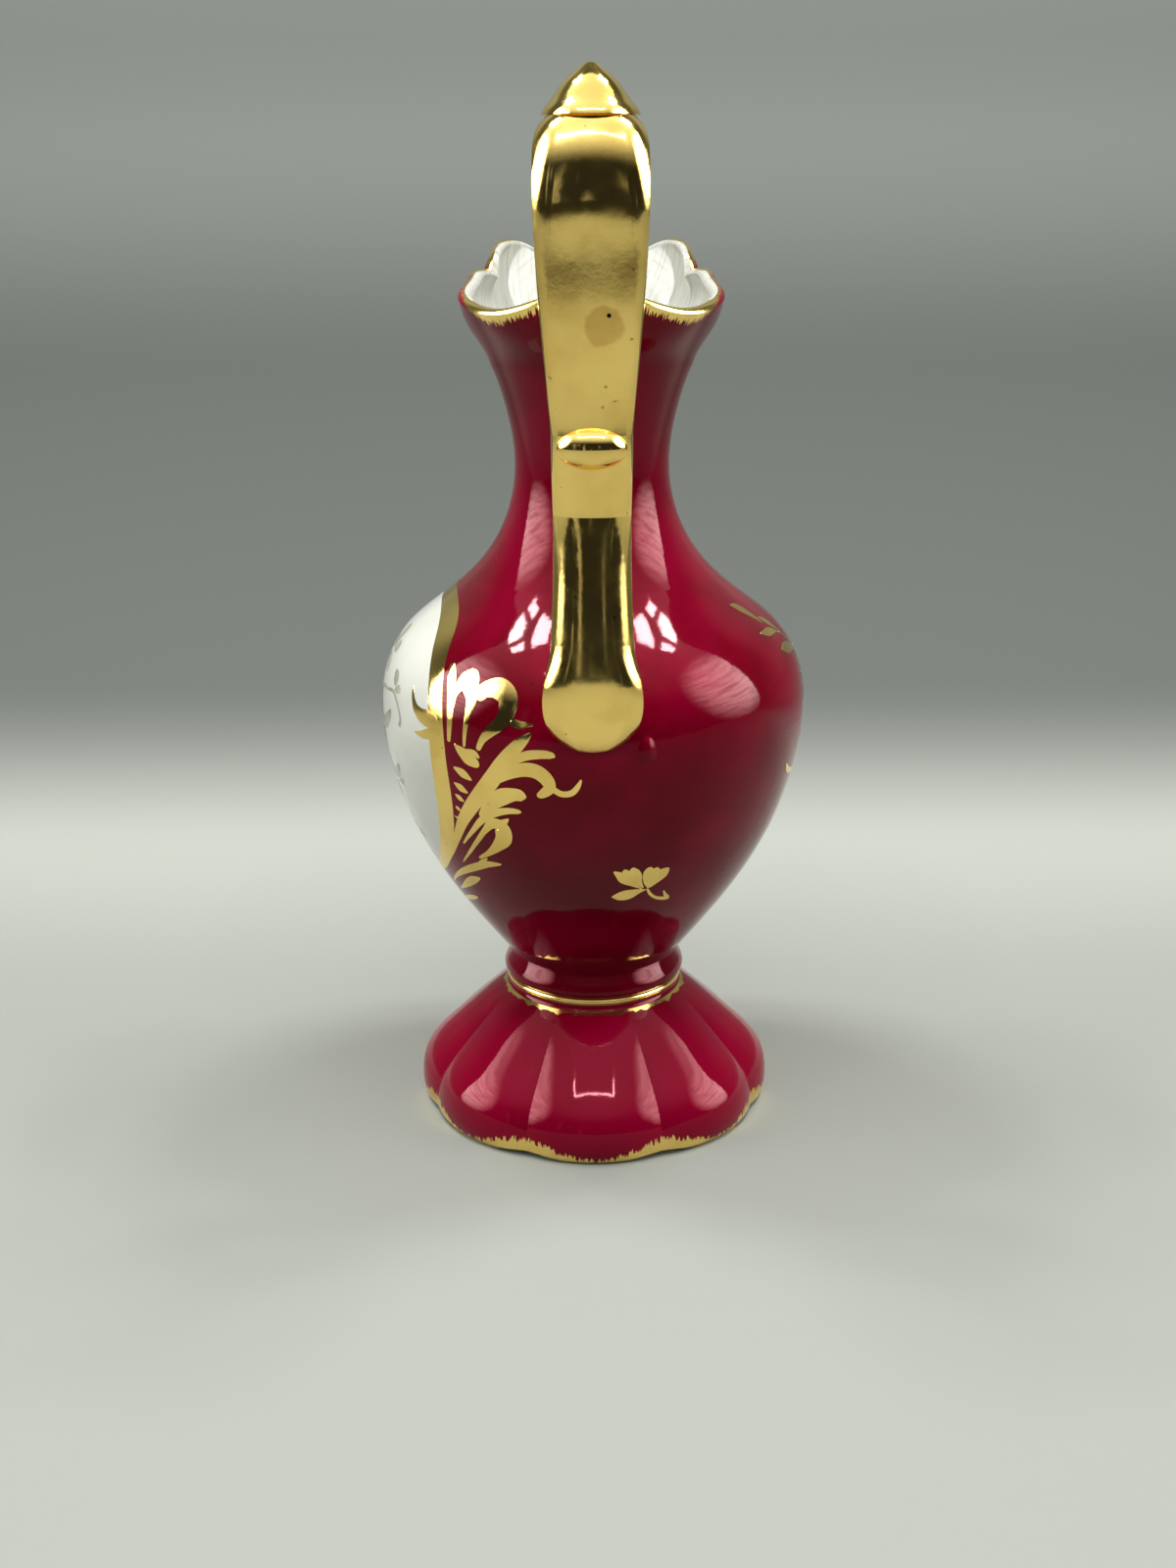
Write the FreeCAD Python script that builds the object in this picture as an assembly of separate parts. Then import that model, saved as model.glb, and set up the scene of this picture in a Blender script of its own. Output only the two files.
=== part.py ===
import FreeCAD
import Part
import math
import os

os.makedirs("parts", exist_ok=True)

# Frame: origin on the floor under the middle of the foot, +Z up.
# The pouring channel points along +Y and the handle stands on the -Y side.
Vector = FreeCAD.Vector
up = Vector(0, 0, 1)
origin = Vector(0, 0, 0)

# Foot: a hollow dome of rounded lobes
foot_radius = 45.9
foot_height = 31.0
foot_top_radius = 22.7
foot_wall = 4.0
lobe_count = 8
lobe_depth = 2.7
hem_lift = 1.7
hem_land_share = 0.38
ring_width_share = 0.5
foot_outline_shares = [
    # share of the height, share of the way out from top radius to lobe tip, share of the lobe depth
    (0.0, 0.927, 0.45),
    (0.07, 0.991, 0.52),
    (0.19, 1.0, 0.72),
    (0.32, 0.965, 0.92),
    (0.45, 0.858, 1.0),
    (0.58, 0.685, 0.88),
    (0.71, 0.49, 0.62),
    (0.84, 0.288, 0.3),
    (0.94, 0.112, 0.06),
    (1.0, 0.0, 0.0),
]

# Stem: a groove and the gilt bead over it, then the rounded collar
stem_radius = 22.1
groove_height = 1.7
bead_height = 1.5
bead_bulge = 0.6
collar_height = 6.6
collar_radius = 23.4
collar_outline_shares = [(0.28, 1.0), (0.6, 0.68)]

# Body outline: the belly's widest line is at its height above the floor, and the shoulder and the
# throat are the lengths from there up to the neck's narrowest line and on to the lip's base
waist_radius = 21.3
belly_radius = 52.7
belly_height = 106.0
shoulder_length = 60.0
shoulder_seam_share = 0.567
neck_radius = 18.7
throat_length = 24.0
lip_base_radius = 24.2
lip_base_slope = 0.48
body_wall = 3.2
floor_thickness = 5.0
lower_belly_shares = [(0.06, 0.1), (0.18, 0.293), (0.36, 0.555), (0.584, 0.8), (0.8, 0.943)]
shoulder_shares = [(0.21, 0.053), (0.345, 0.2), (0.445, 0.41), (0.542, 0.621), (0.68, 0.83), (0.84, 0.957)]
throat_shares = [(0.34, 0.125), (0.67, 0.465)]

# Scalloped lip: each point of the rim stands out and up from the lip's base by a share of the reach
# and of the rise, and the levels are shares of the way up, each with its share of the swell
lip_reach = 15.8
lip_rise = 27.7
rim_crown = 1.3
lip_swell = 1.0
lip_level_shares = [(0.0, 0.0), (0.35, 0.4), (0.65, 1.0), (0.85, 0.7), (1.0, 0.0)]
flare_power = 2
tuck_power = 5
side_rim_shares = [
    # angle from the handle, share of the reach, share of the rise
    (0, 0.43, 0.69),
    (37, 0.53, 0.51),
    (70, 0.425, 0.62),
    (86, 0.24, 0.7),
    (103, 0.215, 0.765),
    (119, 0.205, 0.735),
]
spout_rim_shares = [
    (119, 0.205, 0.735),
    (128, 0.34, 0.92),
    (140, 0.53, 1.0),
    (158, 0.75, 0.9),
    (180, 1.0, 0.72),
]

# Handle: a strap in the plane of symmetry, its reach counted from the jug's axis to its middle line
strap_width = 23.8
strap_thickness = 9.0
handle_reach = 57.4
arch_rise = 14.3
leg_clearance = 0.9
leg_thickness_share = 0.82
knee_reach = 47.8
knee_share = 0.289
knuckle_stand = 3.5
knuckle_width = 17.2
knuckle_share = 0.477
roll_radius = 4.8
roll_length = 15.8
roll_sink = 1.2
pad_width = 22.3
pad_height = 23.9
pad_rise = 3.6
seat_rise = 5.6
back_flat_share = 0.72
back_round_share = 0.225
front_bulge_share = 0.11
section_bulge_shares = (0.1, 0.04, 0.14, 0.02, 0.14, 0.04, 0.1)

# Crest: a turned bud on top of the arch, for the thumb
crest_height = 10.2
crest_sink = 3.0
crest_radius = 10.3
crest_outline_shares = [(0.0, 1.0), (0.28, 0.81), (0.53, 0.63), (0.75, 0.42), (0.91, 0.21)]

groove_top_height = foot_height + groove_height
collar_base_height = groove_top_height + bead_height
waist_height = collar_base_height + collar_height
neck_height = belly_height + shoulder_length
lip_base_height = neck_height + throat_length
shoulder_seam_height = belly_height + shoulder_length * shoulder_seam_share
lip_wall = body_wall * math.sqrt(1 + lip_base_slope ** 2)
handle_rim_share = side_rim_shares[0][1]
handle_rim_radius = lip_base_radius + lip_reach * handle_rim_share + lip_wall / 2
leg_reach = handle_rim_radius + leg_clearance + strap_thickness * leg_thickness_share / 2
arch_radius = (handle_reach - leg_reach) / 2
arch_height = lip_base_height + lip_rise + arch_rise
arch_back = handle_reach - arch_radius
pad_foot_height = belly_height + pad_rise
pad_top_height = pad_foot_height + pad_height


def between(start, end, share):
    return start + (end - start) * share


knee_height = between(pad_top_height, arch_height, knee_share)
knuckle_height = between(pad_top_height, arch_height, knuckle_share)


def save(node, shape):
    if not shape.isValid() or len(shape.Solids) != 1:
        raise ValueError(node + " is not one sound solid")
    solid = shape.Solids[0]
    solid.exportStep("parts/" + node + ".step")
    print(node, round(solid.Volume, 1), "mm3")


def spline(points):
    curve = Part.BSplineCurve()
    curve.interpolate(points)
    return curve


def spline_with_ends(points, first_tangent, last_tangent):
    curve = Part.BSplineCurve()
    curve.interpolate(Points=points, InitialTangent=first_tangent, FinalTangent=last_tangent)
    return curve


def polar(radius, degrees, height):
    """A point by radius and angle, counted from the handle side towards +X."""
    angle = math.radians(degrees)
    return Vector(radius * math.sin(angle), -radius * math.cos(angle), height)


def on_profile(radius, height):
    return Vector(radius, 0, height)


def line(start, end):
    return Part.LineSegment(start, end).toShape()


def turned(edges):
    """The solid that a closed outline in the XZ plane sweeps about the vertical axis."""
    return Part.Face(Part.Wire(edges)).revolve(origin, up, 360)


def closed_solid(faces):
    shell = Part.Shell(faces)
    shell.sewShape()
    solid = Part.Solid(shell)
    if solid.Volume < 0:
        solid.reverse()
    return solid


# Foot
def lobed_wire(tip_radius, valley_radius, height):
    """One arc over each lobe, from valley to valley."""
    pitch = 360.0 / lobe_count
    arcs = []
    for lobe in range(lobe_count):
        tip = lobe * pitch
        valley_before = polar(valley_radius, tip - pitch / 2, height)
        valley_after = polar(valley_radius, tip + pitch / 2, height)
        arcs.append(Part.Arc(valley_before, polar(tip_radius, tip, height), valley_after).toShape())
    return Part.Wire(arcs)


def foot_skin(inset):
    """The lobed dome, drawn in by a wall; drawn in, its top also comes down by that wall."""
    wires = []
    for height_share, out_share, depth_share in foot_outline_shares:
        tip = between(foot_top_radius, foot_radius, out_share) - inset
        valley = tip - lobe_depth * depth_share
        wires.append(lobed_wire(tip, valley, (foot_height - inset) * height_share))
    return Part.makeLoft(wires, True, False)


def make_foot():
    """The dome, hollow underneath, its hem raised in the valleys in front of a level inner ring."""
    foot = foot_skin(0).cut(foot_skin(foot_wall))
    half_chord = foot_radius * math.radians(180.0 / lobe_count) * (1 - hem_land_share)
    hem_arch_radius = (half_chord ** 2 + hem_lift ** 2) / (2 * hem_lift)
    _, out_share, depth_share = foot_outline_shares[0]
    valley_radius = between(foot_top_radius, foot_radius, out_share) - lobe_depth * depth_share
    ring_radius = valley_radius - foot_wall * (1 - ring_width_share)
    for lobe in range(lobe_count):
        valley_angle = (lobe + 0.5) * 360.0 / lobe_count
        start = polar(ring_radius, valley_angle, hem_lift - hem_arch_radius)
        foot = foot.cut(Part.makeCylinder(hem_arch_radius, foot_radius, start, polar(1, valley_angle, 0)))
    return foot


# Stem
def make_stem_ring():
    """A hollowed groove under a raised bead."""
    bottom = on_profile(foot_top_radius, foot_height)
    middle = on_profile(stem_radius, groove_top_height)
    top = on_profile(stem_radius, collar_base_height)
    hollow = on_profile(stem_radius, between(foot_height, groove_top_height, 0.5))
    crest = on_profile(stem_radius + bead_bulge, between(groove_top_height, collar_base_height, 0.5))
    return turned([
        line(on_profile(0, foot_height), bottom),
        Part.Arc(bottom, hollow, middle).toShape(),
        Part.Arc(middle, crest, top).toShape(),
        line(top, on_profile(0, collar_base_height)),
        line(on_profile(0, collar_base_height), on_profile(0, foot_height)),
    ])


def make_stem_collar():
    bottom = on_profile(stem_radius, collar_base_height)
    top = on_profile(waist_radius, waist_height)
    points = [bottom]
    for height_share, out_share in collar_outline_shares:
        radius = between(waist_radius, collar_radius, out_share)
        points.append(on_profile(radius, between(collar_base_height, waist_height, height_share)))
    return turned([
        line(on_profile(0, collar_base_height), bottom),
        spline(points + [top]).toShape(),
        line(top, on_profile(0, waist_height)),
        line(on_profile(0, waist_height), on_profile(0, collar_base_height)),
    ])


# Body
def outline_stretch(start, end, shares):
    """The points of a stretch of the outline after its start: those given by shares, then its end."""
    points = []
    for height_share, radius_share in shares:
        points.append(on_profile(between(start.x, end.x, radius_share), between(start.z, end.z, height_share)))
    return points + [end]


def body_outline_points():
    waist = on_profile(waist_radius, waist_height)
    widest = on_profile(belly_radius, belly_height)
    narrowest = on_profile(neck_radius, neck_height)
    lip_base = on_profile(lip_base_radius, lip_base_height)
    points = [waist]
    points += outline_stretch(waist, widest, lower_belly_shares)
    points += outline_stretch(widest, narrowest, shoulder_shares)
    points += outline_stretch(narrowest, lip_base, throat_shares)
    return points


def outer_curve():
    points = body_outline_points()
    start = spline(points).tangent(0)[0]
    return spline_with_ends(points, start, Vector(lip_base_slope, 0, 1))


def wall_radius(curve, height):
    """The outline's radius at a height, where a level line from the axis meets it."""
    level = Part.LineSegment(on_profile(0, height), on_profile(2 * belly_radius, height))
    crossing = curve.intersect(level)[0]
    return crossing.X


def inner_curve():
    """The outline moved inward along its normal by the wall, with a rounded floor."""
    curve = outer_curve()
    floor_height = waist_height + floor_thickness
    points = [on_profile(0, floor_height)]
    for point in body_outline_points()[:-1]:
        tangent = curve.tangent(curve.parameter(point))[0]
        inner = point + Vector(-tangent.z, 0, tangent.x) * body_wall
        if inner.z > floor_height + floor_thickness:
            points.append(inner)
    points.append(on_profile(lip_base_radius - lip_wall, lip_base_height))
    return spline_with_ends(points, Vector(1, 0, 0), Vector(lip_base_slope, 0, 1))


def under(curve, bottom_height):
    """Everything between a profile curve and the axis, from a height up to the lip's base."""
    bottom = on_profile(0, bottom_height)
    top = on_profile(0, lip_base_height)
    edges = [curve.toShape(), line(curve.EndPoint, top), line(top, bottom)]
    if curve.StartPoint.x > 0:
        edges.append(line(bottom, curve.StartPoint))
    return turned(Part.__sortEdges__(edges))


def body_zone(vessel, low, high):
    reach = belly_radius + body_wall
    return vessel.common(Part.makeCylinder(reach, high - low, Vector(0, 0, low), up))


# Lip
def rim_tables():
    """The whole rim in two runs, round the handle side and round the spout, each end to end."""
    handle_side = [(-a, reach, rise) for a, reach, rise in reversed(side_rim_shares[1:])]
    spout_side = [(360 - a, reach, rise) for a, reach, rise in reversed(spout_rim_shares[:-1])]
    return handle_side + side_rim_shares, spout_rim_shares + spout_side


def lip_wire(level_share, inset, crown=0.0, swell_share=0.0):
    """A closed ring of the lip, part of the way from its round base up to the rim.

    The wall goes on from the base as a cone, swells a little and flares out or tucks in at the rim.
    """
    edges = []
    for table in rim_tables():
        points = []
        for angle, reach, rise in table:
            height = lip_rise * rise - rim_crown
            straight = lip_base_slope * height
            curl = lip_reach * reach + lip_wall / 2 - straight
            power = flare_power if curl > 0 else tuck_power
            radius = lip_base_radius + straight * level_share + curl * level_share ** power - inset
            radius += lip_swell * swell_share
            points.append(polar(radius, angle, lip_base_height + height * level_share + crown))
        edges.append(spline(points).toShape())
    return Part.Wire(edges)


def lip_skin(inset):
    return Part.makeLoft([lip_wire(level, inset, 0, swell) for level, swell in lip_level_shares], False, False)


def rim_quarter(first_turn, last_turn):
    """A quarter of the rounded rim: an elliptical arc across the wall, carried all the way round."""
    wires = []
    for turn in (first_turn, between(first_turn, last_turn, 0.5), last_turn):
        angle = math.radians(turn)
        inset = lip_wall * (1 - math.cos(angle)) / 2
        wires.append(lip_wire(1.0, inset, rim_crown * math.sin(angle)))
    return Part.makeLoft(wires, False, False)


def make_lip():
    base = Part.Face(lip_wire(0.0, 0.0)).cut(Part.Face(lip_wire(0.0, lip_wall)))
    faces = lip_skin(0.0).Faces + lip_skin(lip_wall).Faces + base.Faces
    return closed_solid(faces + rim_quarter(0, 90).Faces + rim_quarter(90, 180).Faces)


def lip_core():
    """The lip with its mouth filled up to a cone, which the handle's inner leg is seated against."""
    peak = Part.Wire(Part.makeCircle(lip_wall, Vector(0, 0, lip_base_height + lip_rise + lip_wall)))
    crown = lip_wire(1.0, lip_wall / 2, rim_crown)
    cone = Part.makeLoft([crown, peak], False, True)
    base = Part.Face(lip_wire(0.0, 0.0))
    return closed_solid(lip_skin(0.0).Faces + rim_quarter(0, 90).Faces + cone.Faces + [base, Part.Face(peak)])


# Handle
def bulged(start, end, bulge, centre):
    """An arc from start to end that stands away from the centre by a share of its chord."""
    chord = end - start
    middle = (start + end) * 0.5
    away = middle - centre
    away = away - chord * (away.dot(chord) / chord.dot(chord))
    away.normalize()
    return Part.Arc(start, middle + away * (bulge * chord.Length), end).toShape()


def strap_section(station):
    """A cross section: front, bevel, side, back rounding, back, and the same again mirrored.

    A station holds the middle's reach and height, width, thickness, the front's share of the
    width, the bevel's share of the thickness, and the outward direction of its front. The deeper
    the bevel, the rounder the front.
    """
    reach, height, width, thickness, flat, bevel, outward = station
    centre = Vector(0, -reach, height)
    half_width = width / 2
    half_thickness = thickness / 2
    right_side = [
        (half_width * flat, half_thickness),
        (half_width, half_thickness - thickness * bevel),
        (half_width, -half_thickness + thickness * back_round_share),
        (half_width * back_flat_share, -half_thickness),
    ]
    corners = right_side + [(-x, depth) for x, depth in reversed(right_side)]
    points = [centre + Vector(x, 0, 0) + outward * depth for x, depth in corners]
    bulges = section_bulge_shares + (front_bulge_share * bevel,)
    edges = []
    for start, end, bulge in zip(points, points[1:] + points[:1], bulges):
        edges.append(bulged(start, end, bulge, centre))
    return Part.Wire(edges)


def strap(stations):
    return Part.makeLoft([strap_section(station) for station in stations], True, False, False, 3)


def stretch(start, end, shares):
    """Rows from a start to an end, both (reach, height, width).

    Each share row gives the shares of the way in reach, height and width, the share of the strap's
    thickness, the front's share and the bevel's share.
    """
    rows = []
    for reach_share, height_share, width_share, thickness_share, flat, bevel in shares:
        reach = between(start[0], end[0], reach_share)
        height = between(start[1], end[1], height_share)
        width = between(start[2], end[2], width_share)
        rows.append((reach, height, width, strap_thickness * thickness_share, flat, bevel))
    return rows


def pad_rows():
    """The spade that lies on the shoulder: its lower end dives into the wall and is cut to it.

    Each share row gives the share of the pad's height, how far its middle stands off the wall as a
    share of the strap's thickness, the share of the pad's width, then the rest as for a stretch.
    """
    curve = outer_curve()
    rows = []
    for height_share, stand_share, width_share, thickness_share, flat, bevel in [
        (0.0, -0.34, 0.404, 0.556, 0.42, 0.34),
        (0.151, -0.1, 0.807, 0.711, 0.42, 0.36),
        (0.335, 0.167, 0.978, 0.8, 0.42, 0.38),
        (0.536, 0.467, 1.0, 0.867, 0.42, 0.4),
        (0.762, 0.9, 0.915, 0.922, 0.44, 0.43),
        (1.0, 1.58, 0.825, 0.967, 0.46, 0.45),
    ]:
        height = between(pad_foot_height, pad_top_height, height_share)
        reach = wall_radius(curve, height) + strap_thickness * stand_share
        rows.append((reach, height, pad_width * width_share, strap_thickness * thickness_share, flat, bevel))
    return rows


def arch_rows(shares):
    """Rows round the half circle of the arch, by turn from its front foot over the top."""
    rows = []
    for turn, width_share, thickness_share, flat, bevel in shares:
        angle = math.radians(turn)
        reach = arch_back + arch_radius * math.cos(angle)
        height = arch_height + arch_radius * math.sin(angle)
        rows.append((reach, height, strap_width * width_share, strap_thickness * thickness_share, flat, bevel))
    return rows


def handle_stations():
    """The handle's pieces by name, each from the last station of the one before.

    A smooth line through the middles of all the stations gives the direction of each.
    """
    pad = pad_rows()
    knee = (knee_reach, knee_height, knuckle_width)
    lower = stretch(pad[-1][:3], knee, [
        (0.405, 0.351, 0.75, 0.99, 0.46, 0.45),
        (0.786, 0.702, 1.1, 1.0, 0.46, 0.43),
        (1.0, 1.0, 1.2, 1.0, 0.5, 0.34),
    ])
    bend = (knee_reach + knuckle_stand, knuckle_height, knuckle_width)
    knuckle = stretch(lower[-1][:3], bend, [
        (0.2, 0.297, 0.8, 1.01, 0.62, 0.22),
        (0.63, 0.638, 1.0, 1.02, 0.84, 0.16),
        (1.0, 1.0, 1.0, 1.02, 0.84, 0.16),
    ])
    arch_foot = (handle_reach, arch_height, strap_width)
    upper = stretch(bend, arch_foot, [
        (0.344, 0.282, 0.379, 1.0, 0.85, 0.16),
        (0.705, 0.563, 0.727, 0.967, 0.82, 0.17),
        (0.951, 0.816, 0.94, 0.933, 0.7, 0.22),
    ]) + arch_rows([
        (0, 1.0, 0.91, 0.6, 0.32),
        (35, 0.98, 0.9, 0.52, 0.42),
        (65, 0.9, 0.89, 0.48, 0.45),
        (90, 0.8, 0.88, 0.46, 0.45),
    ])
    seat = (lip_base_radius, lip_base_height + seat_rise, 0)
    leg_top = (leg_reach, arch_height, strap_width)
    root = arch_rows([
        (120, 0.73, 0.86, 0.44, 0.42),
        (150, 0.67, 0.84, 0.4, 0.35),
        (180, 0.65, leg_thickness_share, 0.4, 0.35),
    ]) + stretch(seat, leg_top, [
        (0.962, 0.589, 0.647, leg_thickness_share, 0.4, 0.35),
        (0.85, 0.33, 0.664, leg_thickness_share, 0.4, 0.35),
        (0.56, 0.118, 0.706, 0.78, 0.4, 0.35),
        (0.02, 0.0, 0.748, 0.62, 0.4, 0.35),
    ])
    rows = pad + lower + knuckle + upper + root
    middles = [Vector(0, -row[0], row[1]) for row in rows]
    run = spline(middles)
    stations = []
    for row, middle in zip(rows, middles):
        tangent = run.tangent(run.parameter(middle))[0]
        stations.append(row + (Vector(0, -tangent.z, tangent.y),))
    pieces = {}
    end_of_last = 0
    for name, piece in (("pad", pad), ("lower", lower), ("knuckle", knuckle), ("upper", upper), ("root", root)):
        end = end_of_last + len(piece)
        pieces[name] = stations[max(end_of_last - 1, 0):end]
        end_of_last = end
    return pieces


def make_knuckle(stations):
    """The strap's bent stretch with an egg-round roll sunk lengthwise across its front."""
    below, above = stations[-2], stations[-1]
    roll_height = between(below[1], above[1], 0.5)
    roll_back = between(below[0], above[0], 0.5) + above[3] / 2 - roll_sink
    middle = Vector(0, -roll_back, roll_height)
    half_length = Vector(roll_length / 2, 0, 0)
    outline = Part.ArcOfEllipse(Part.Ellipse(middle, half_length.x, roll_radius), math.pi, 2 * math.pi)
    half = Part.Wire([outline.toShape(), line(middle + half_length, middle - half_length)])
    roll = Part.Face(half).revolve(middle, Vector(1, 0, 0), 360)
    return strap(stations).fuse(roll).removeSplitter()


def make_crest():
    """A bud turned about the upright line through the middle of the arch."""
    base = arch_height + arch_radius + strap_thickness / 2 - crest_sink
    points = [on_profile(crest_radius * out, base + crest_height * rise) for rise, out in crest_outline_shares]
    top = on_profile(0, base + crest_height)
    foot = on_profile(0, base)
    outline = spline_with_ends(points + [top], Vector(-crest_sink, 0, crest_height), Vector(-1, 0, 0))
    bud = turned([outline.toShape(), line(top, foot), line(foot, points[0])])
    bud.translate(Vector(0, -arch_back, 0))
    return bud


core = under(outer_curve(), waist_height)
vessel = core.cut(under(inner_curve(), waist_height + floor_thickness))
stations = handle_stations()
knuckle = make_knuckle(stations["knuckle"])
upper_strap = strap(stations["upper"]).cut(knuckle)
handle_root = strap(stations["root"]).cut(lip_core())

save("foot", make_foot())
save("stem_ring", make_stem_ring())
save("stem_collar", make_stem_collar())
save("belly", body_zone(vessel, waist_height, belly_height))
save("shoulder", body_zone(vessel, belly_height, shoulder_seam_height))
save("neck", body_zone(vessel, shoulder_seam_height, lip_base_height))
save("lip", make_lip())
save("handle_pad", strap(stations["pad"]).cut(core))
save("handle_lower_strap", strap(stations["lower"]))
save("handle_knuckle", knuckle)
save("handle_upper_strap", upper_strap)
save("handle_crest", make_crest().cut(upper_strap).cut(handle_root))
save("handle_root", handle_root)
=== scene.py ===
"""The looks of a gilt and crimson porcelain ewer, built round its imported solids."""

import math

import bpy
import numpy as np
from mathutils import Matrix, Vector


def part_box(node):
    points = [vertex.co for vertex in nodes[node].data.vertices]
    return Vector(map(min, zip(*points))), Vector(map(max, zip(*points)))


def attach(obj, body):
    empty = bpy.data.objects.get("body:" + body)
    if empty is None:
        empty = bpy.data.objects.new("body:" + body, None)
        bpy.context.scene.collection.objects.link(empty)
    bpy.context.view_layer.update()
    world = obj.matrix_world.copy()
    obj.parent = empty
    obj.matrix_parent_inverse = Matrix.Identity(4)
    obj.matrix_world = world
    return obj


bl_info = {
    "name": "Gilt crimson ewer",
    "version": (1, 0, 0),
    "blender": (4, 5, 0),
    "location": "3D View > Sidebar > Ewer",
    "description": "Glaze, gilding, painted reserve and studio for a footed porcelain ewer",
    "category": "Object",
}

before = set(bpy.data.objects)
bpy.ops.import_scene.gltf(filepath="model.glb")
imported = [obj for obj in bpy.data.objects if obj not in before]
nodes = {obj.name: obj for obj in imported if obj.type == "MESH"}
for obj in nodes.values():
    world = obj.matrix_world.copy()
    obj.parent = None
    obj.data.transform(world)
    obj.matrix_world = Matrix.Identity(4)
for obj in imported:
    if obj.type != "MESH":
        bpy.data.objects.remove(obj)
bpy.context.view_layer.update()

MM = 0.001
BODY_NODES = ("stem_collar", "belly", "shoulder", "neck")
HANDLE_NODES = (
    "handle_pad",
    "handle_lower_strap",
    "handle_knuckle",
    "handle_upper_strap",
    "handle_crest",
    "handle_root",
)
LOBES = 8
# Angles in degrees, from the handle towards +X, of the middle of the reserve and of the plain side.
RESERVE_SIDE, PLAIN_SIDE = -90.0, 90.0
# The first stroke's lift off the wall in mm, what each next one adds, and after how many it starts again.
FIRST_LIFT, NEXT_LIFT, LIFTS = 0.03, 0.004, 12
# Height of a stroke of the grey green paint in mm.
PAINT_RISE = 0.02
# A petal's points, as shares of the blossom's size: how far out, and how wide.
PETAL_ROWS = ((0.16, 0.1), (0.45, 0.42), (0.75, 0.62), (1.0, 0.36))
NEARLY_BLACK = (0.01, 0.008, 0.006)
DEEP_SHADE = (0.02, 0.02, 0.018)
GLAZE_IOR = 1.35
GLAZE_TINT = (1.0, 0.36, 0.4, 1.0)
CAMERA_YAW = math.radians(0.17)
CAMERA_ROLL = math.radians(-0.26)


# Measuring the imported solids


def faces_of(name):
    """Corner points of a node's triangles and the triangles' normals, as arrays."""
    mesh = nodes[name].data
    points = np.empty(len(mesh.vertices) * 3)
    mesh.vertices.foreach_get("co", points)
    corners = np.empty(len(mesh.polygons) * 3, int)
    mesh.polygons.foreach_get("vertices", corners)
    normals = np.empty(len(mesh.polygons) * 3)
    mesh.polygons.foreach_get("normal", normals)
    return points.reshape(-1, 3)[corners.reshape(-1, 3)], normals.reshape(-1, 3)


def outer_profile(names):
    """Height and radius of the outer wall, from the triangles whose normals point away from the axis."""
    heights, radii = [], []
    least_outward, level = 0.1, 0.25 * MM
    for name in names:
        corners, normals = faces_of(name)
        middle = corners.mean(1)
        away = (middle[:, :2] * normals[:, :2]).sum(1)
        outward = away > least_outward * np.hypot(middle[:, 0], middle[:, 1])
        points = corners[outward].reshape(-1, 3)
        heights.append(points[:, 2])
        radii.append(np.hypot(points[:, 0], points[:, 1]))
    steps = np.round(np.concatenate(heights) / level).astype(int)
    _, index = np.unique(steps, return_inverse=True)
    count = np.bincount(index)
    height = np.bincount(index, np.concatenate(heights)) / count
    radius = np.bincount(index, np.concatenate(radii)) / count
    return height, radius


def rim_heights(count):
    """The lip's highest points at even angles from the handle round to the spout, both sides together."""
    corners, _ = faces_of("lip")
    points = corners.reshape(-1, 3)
    angle = np.abs(np.arctan2(points[:, 0], -points[:, 1]))
    step = np.round(angle / math.pi * (count - 1)).astype(int)
    highest = np.zeros(count)
    np.maximum.at(highest, step, points[:, 2])
    return highest


wall_heights, wall_radii = outer_profile(BODY_NODES)


def on_body(angle, height, lift):
    """Points on the body's outer wall, moved out along its normal by a lift.

    x is radius times the sine of the angle and y minus radius times its cosine, with the angle in
    degrees from the handle towards +X, and the normal leans by the slope of the radius over height.
    """
    turn = np.radians(angle)
    radius = np.interp(height, wall_heights, wall_radii)
    step = 0.5 * MM
    above, below = (np.interp(height + move, wall_heights, wall_radii) for move in (step, -step))
    slope = (above - below) / (2 * step)
    length = np.sqrt(1 + slope**2)
    out = radius + lift / length
    return np.stack([out * np.sin(turn), -out * np.cos(turn), height - lift * slope / length], -1)


# Meshes from grids


def smooth_path(points, count):
    """Evenly counted rows on the smooth curve through the given rows.

    Between two rows it is the cubic that has each row's tangent, which is half the step between
    the rows before and after.
    """
    rows = np.asarray(points, float)
    tangents = np.gradient(rows, axis=0)
    place = np.linspace(0, len(rows) - 1, count)
    first = np.minimum(place.astype(int), len(rows) - 2)
    t = (place - first)[:, None]
    start, end = rows[first], rows[first + 1]
    return (
        start * (2 * t**3 - 3 * t**2 + 1)
        + tangents[first] * (t**3 - 2 * t**2 + t)
        + end * (3 * t**2 - 2 * t**3)
        + tangents[first + 1] * (t**3 - t**2)
    )


def grid_faces(rows, columns, start):
    """Quads between neighbouring rows and columns of a grid of points."""
    corner = start + np.arange(rows - 1)[:, None] * columns + np.arange(columns - 1)
    return np.stack([corner, corner + 1, corner + columns + 1, corner + columns], -1).reshape(-1, 4)


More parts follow.
